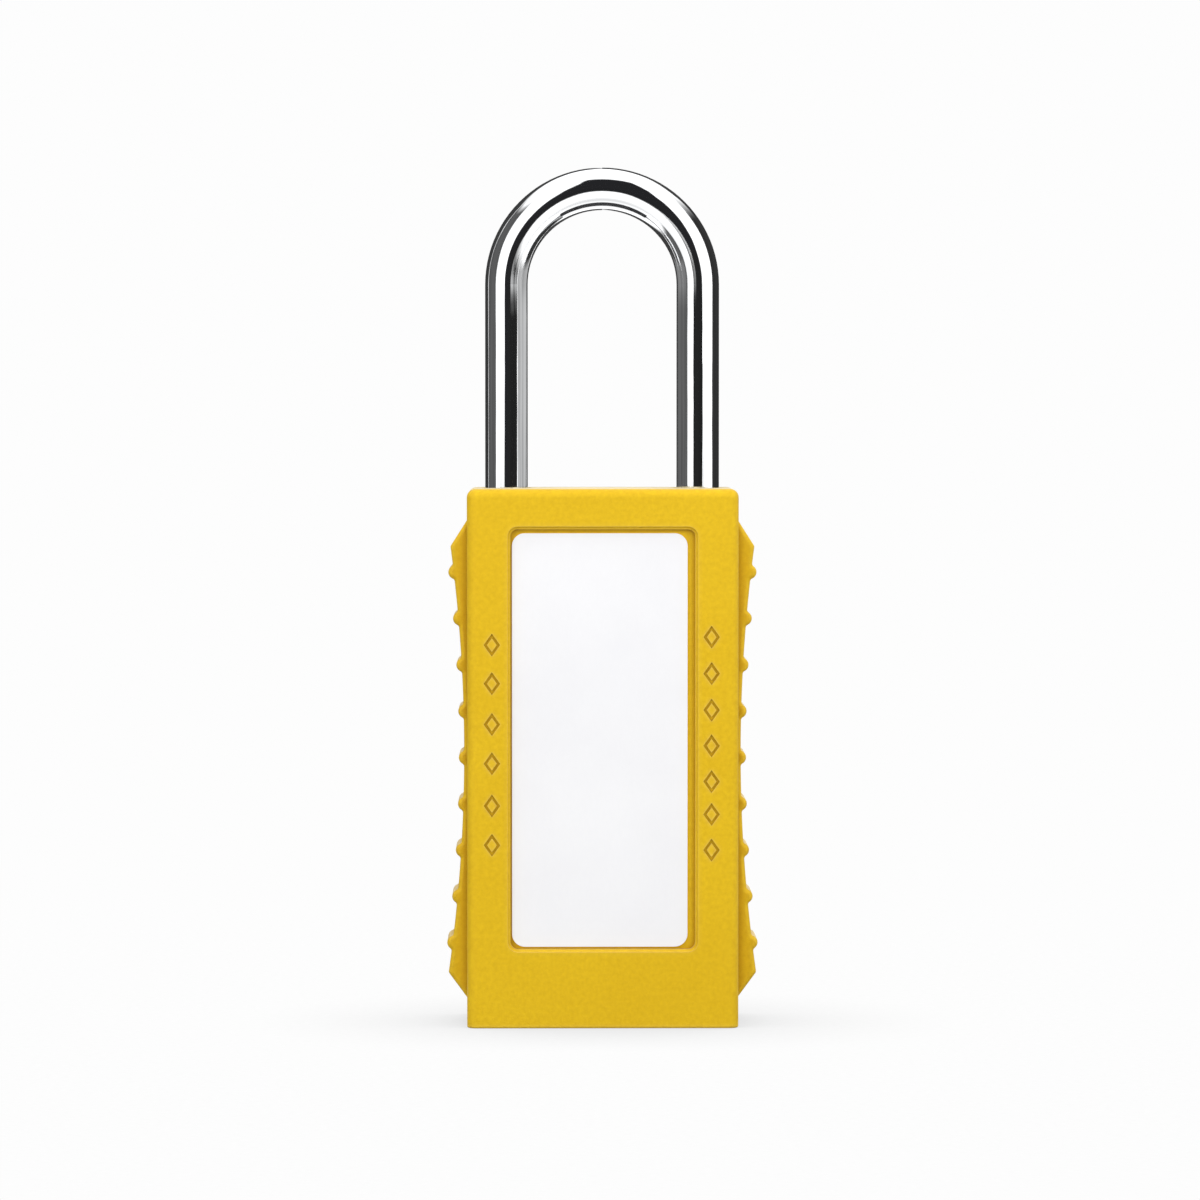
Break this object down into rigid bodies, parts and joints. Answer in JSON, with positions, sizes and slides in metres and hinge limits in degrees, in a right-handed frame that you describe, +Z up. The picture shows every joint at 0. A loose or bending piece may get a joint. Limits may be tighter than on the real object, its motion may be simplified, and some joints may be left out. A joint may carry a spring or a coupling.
{
  "type": "safety lockout padlock",
  "caption": "Long-body safety lockout padlock with a moulded body, ribbed finger grips, a blank write-on label and a steel shackle that lifts when the plug is turned.",
  "frame": {"origin": "centre of the flat base of the body", "axes": "+Z up along the body towards the shackle, -Y out of the labelled front, -X towards the heel of the shackle"},
  "size_m": [0.0436, 0.02, 0.1207],
  "materials": {
    "body_nylon": "fine moulded grain, satin",
    "cover_nylon": "fine moulded grain",
    "label_film": "smooth matt blank film",
    "shackle_steel": "polished plating over hardened steel",
    "spring_steel": "drawn wire",
    "pin_steel": "ground",
    "mechanism_steel": "stamped, lightly deburred",
    "mechanism_cast": "as-cast zinc look",
    "cylinder_cast": "machined cast block",
    "plug_brass": "turned and milled",
    "tumbler_brass": "turned",
    "spacer_nylon": "moulded"
  },
  "bodies": {
    "case": {"body": "body_nylon", "bottom_cover": "cover_nylon", "front_label": "label_film", "rear_label": "label_film", "spring_seat": "spacer_nylon", "shackle_spring": "spring_steel", "shackle_retaining_pin": "pin_steel", "cylinder_retaining_pin": "pin_steel", "bolt_case": "mechanism_cast", "bolt_case_lid": "mechanism_cast", "spacer_sleeve": "spacer_nylon", "cylinder_housing": "cylinder_cast", "pin_springs": "spring_steel", "chamber_strip": "tumbler_brass"},
    "plug": {"cylinder_plug": "plug_brass", "plug_clip": "spring_steel", "drive_shaft": "mechanism_steel", "crank_disc": "mechanism_steel"},
    "shackle": {"shackle": "shackle_steel"},
    "left_bolt": {"left_bolt": "mechanism_steel"},
    "right_bolt": {"right_bolt": "mechanism_steel"},
    "key_pin_1": {"key_pin_1": "tumbler_brass"},
    "driver_pin_1": {"driver_pin_1": "pin_steel"},
    "key_pin_2": {"key_pin_2": "tumbler_brass"},
    "driver_pin_2": {"driver_pin_2": "pin_steel"},
    "key_pin_3": {"key_pin_3": "tumbler_brass"},
    "driver_pin_3": {"driver_pin_3": "pin_steel"},
    "key_pin_4": {"key_pin_4": "tumbler_brass"},
    "driver_pin_4": {"driver_pin_4": "pin_steel"},
    "key_pin_5": {"key_pin_5": "tumbler_brass"},
    "driver_pin_5": {"driver_pin_5": "pin_steel"},
    "key_pin_6": {"key_pin_6": "tumbler_brass"},
    "driver_pin_6": {"driver_pin_6": "pin_steel"}
  },
  "joints": [
    {"name": "plug_turn", "type": "hinge", "parent": "case", "child": "plug", "pos_m": [0, 0, 0.015], "axis": [0, 0, 1], "range_deg": [0, 90.01]},
    {"name": "shackle_lift", "type": "slide", "parent": "case", "child": "shackle", "axis": [0, 0, 1], "range_m": [0, 0.014], "deforming": ["shackle_spring"]},
    {"name": "left_bolt_draw", "type": "slide", "parent": "case", "child": "left_bolt", "axis": [1, 0, 0], "range_m": [0, 0.0056]},
    {"name": "right_bolt_draw", "type": "slide", "parent": "case", "child": "right_bolt", "axis": [-1, 0, 0], "range_m": [0, 0.0056]},
    {"name": "tumbler_key_pin_1", "type": "slide", "parent": "plug", "child": "key_pin_1", "axis": [-1, 0, 0], "range_m": [0, 0.0012]},
    {"name": "tumbler_key_pin_2", "type": "slide", "parent": "plug", "child": "key_pin_2", "axis": [-1, 0, 0], "range_m": [0, 0.0012]},
    {"name": "tumbler_key_pin_3", "type": "slide", "parent": "plug", "child": "key_pin_3", "axis": [-1, 0, 0], "range_m": [0, 0.0012]},
    {"name": "tumbler_key_pin_4", "type": "slide", "parent": "plug", "child": "key_pin_4", "axis": [-1, 0, 0], "range_m": [0, 0.0012]},
    {"name": "tumbler_key_pin_5", "type": "slide", "parent": "plug", "child": "key_pin_5", "axis": [-1, 0, 0], "range_m": [0, 0.0012]},
    {"name": "tumbler_key_pin_6", "type": "slide", "parent": "plug", "child": "key_pin_6", "axis": [-1, 0, 0], "range_m": [0, 0.0012]},
    {"name": "tumbler_driver_pin_1", "type": "slide", "parent": "case", "child": "driver_pin_1", "axis": [1, 0, 0], "range_m": [0, 0.001], "deforming": ["pin_springs"]},
    {"name": "tumbler_driver_pin_2", "type": "slide", "parent": "case", "child": "driver_pin_2", "axis": [1, 0, 0], "range_m": [0, 0.001]},
    {"name": "tumbler_driver_pin_3", "type": "slide", "parent": "case", "child": "driver_pin_3", "axis": [1, 0, 0], "range_m": [0, 0.001]},
    {"name": "tumbler_driver_pin_4", "type": "slide", "parent": "case", "child": "driver_pin_4", "axis": [1, 0, 0], "range_m": [0, 0.001]},
    {"name": "tumbler_driver_pin_5", "type": "slide", "parent": "case", "child": "driver_pin_5", "axis": [1, 0, 0], "range_m": [0, 0.001]},
    {"name": "tumbler_driver_pin_6", "type": "slide", "parent": "case", "child": "driver_pin_6", "axis": [1, 0, 0], "range_m": [0, 0.001]}
  ],
  "couplings": [
    {"joint": "plug_turn", "follows": "shackle_lift", "rad_per_m": 112.2},
    {"joint": "left_bolt_draw", "follows": "shackle_lift", "ratio": 0.4},
    {"joint": "right_bolt_draw", "follows": "shackle_lift", "ratio": 0.4}
  ]
}
